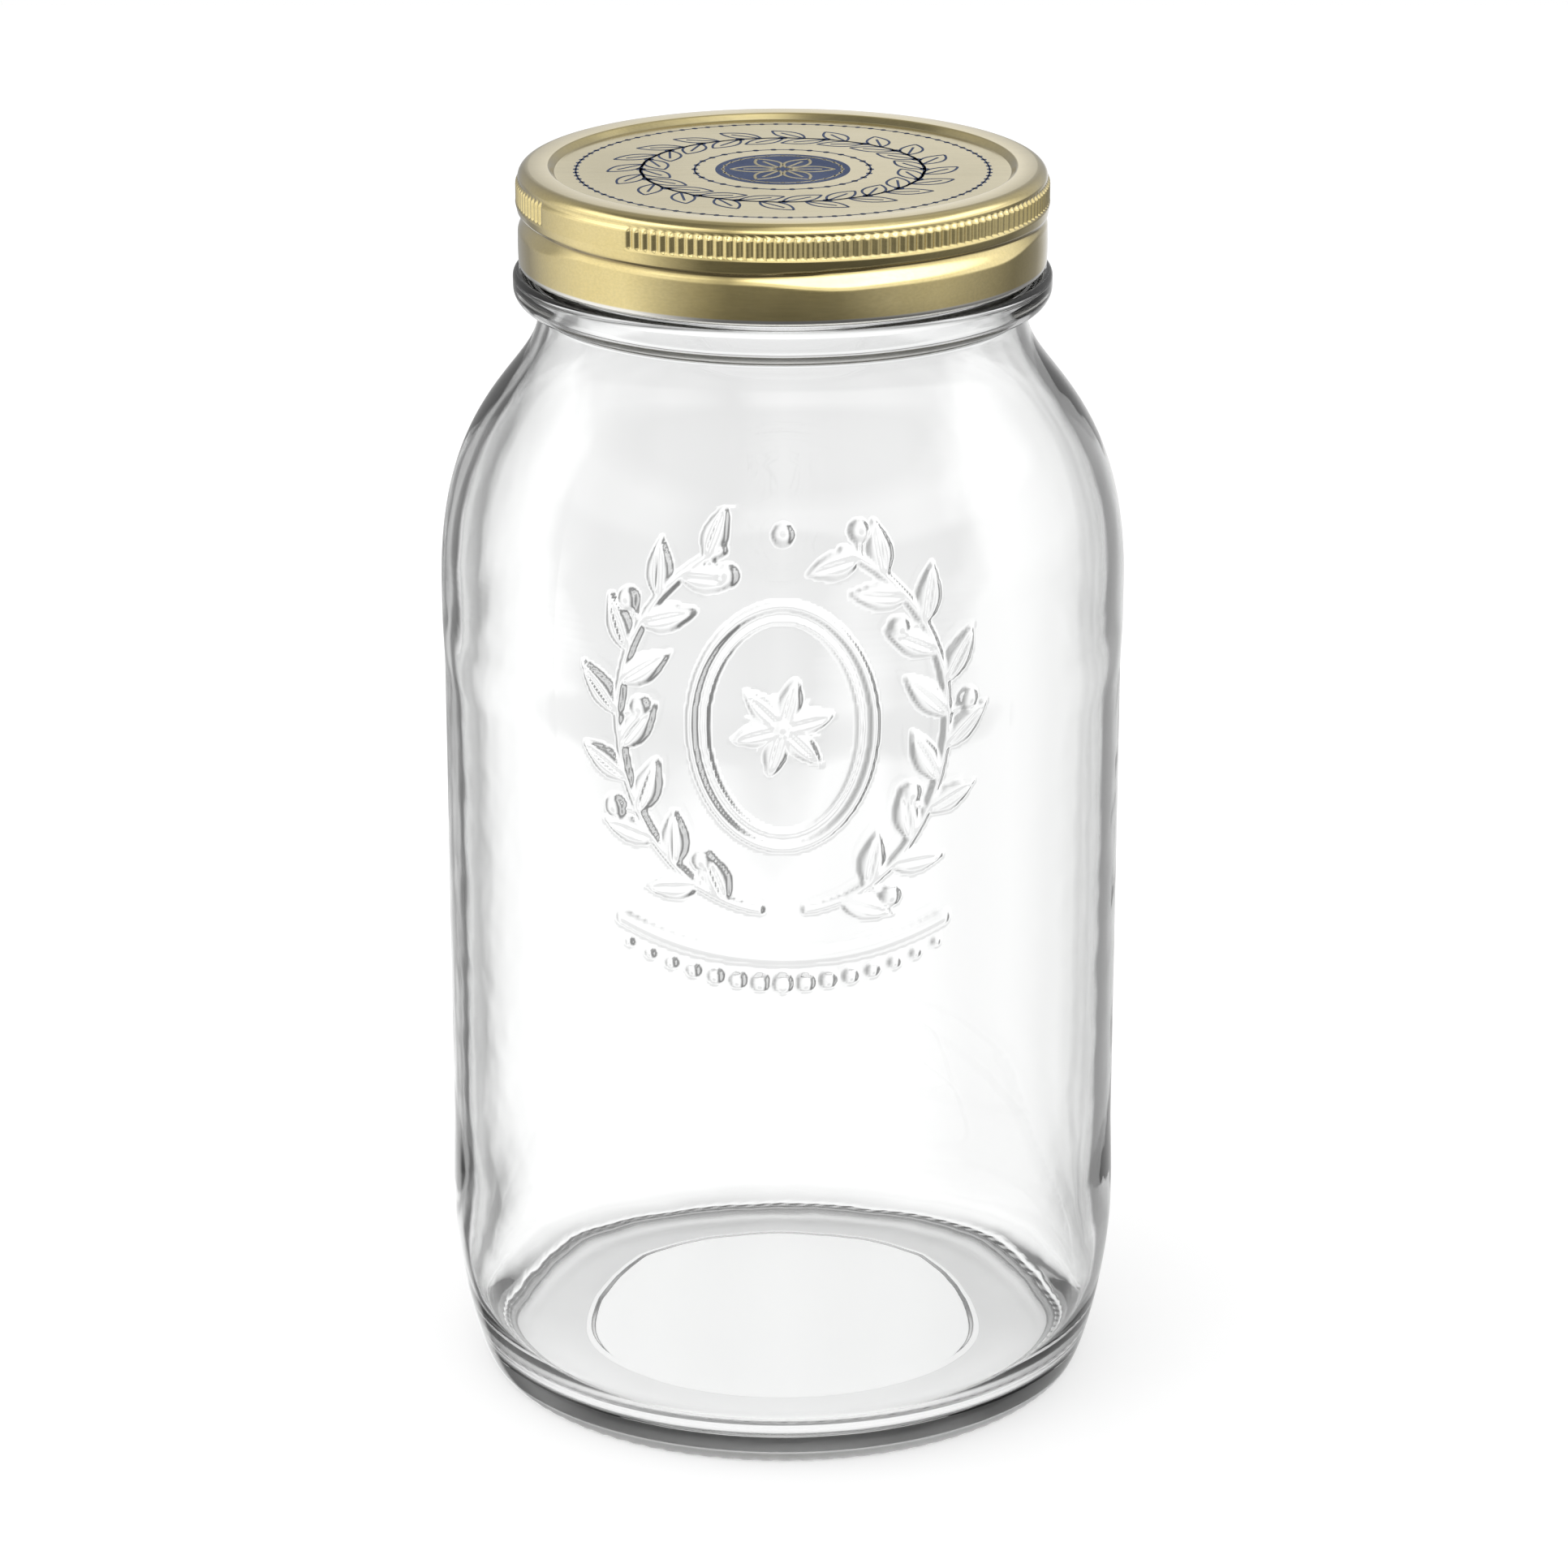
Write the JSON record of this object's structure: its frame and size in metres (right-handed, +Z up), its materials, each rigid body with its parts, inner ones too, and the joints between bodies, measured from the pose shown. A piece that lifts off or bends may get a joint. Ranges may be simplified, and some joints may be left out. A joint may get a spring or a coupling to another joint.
{
  "type": "storage jar",
  "caption": "Clear glass storage jar with rounded shoulders, closed by a gold metal screw lid with a ribbed grip band; empty.",
  "frame": {"origin": "middle of the foot, on the bench", "axes": "+Z up along the axis of the jar; -Y is the front, where the relief on the glass faces"},
  "size_m": [0.1158, 0.1158, 0.2125],
  "materials": {
    "clear_glass": "gloss",
    "gold_tinplate": "gold lacquered tinplate, gloss",
    "seal_compound": "matte"
  },
  "bodies": {
    "root": {"jar": "clear_glass", "lid": "gold_tinplate", "seal": "seal_compound"}
  },
  "joints": []
}
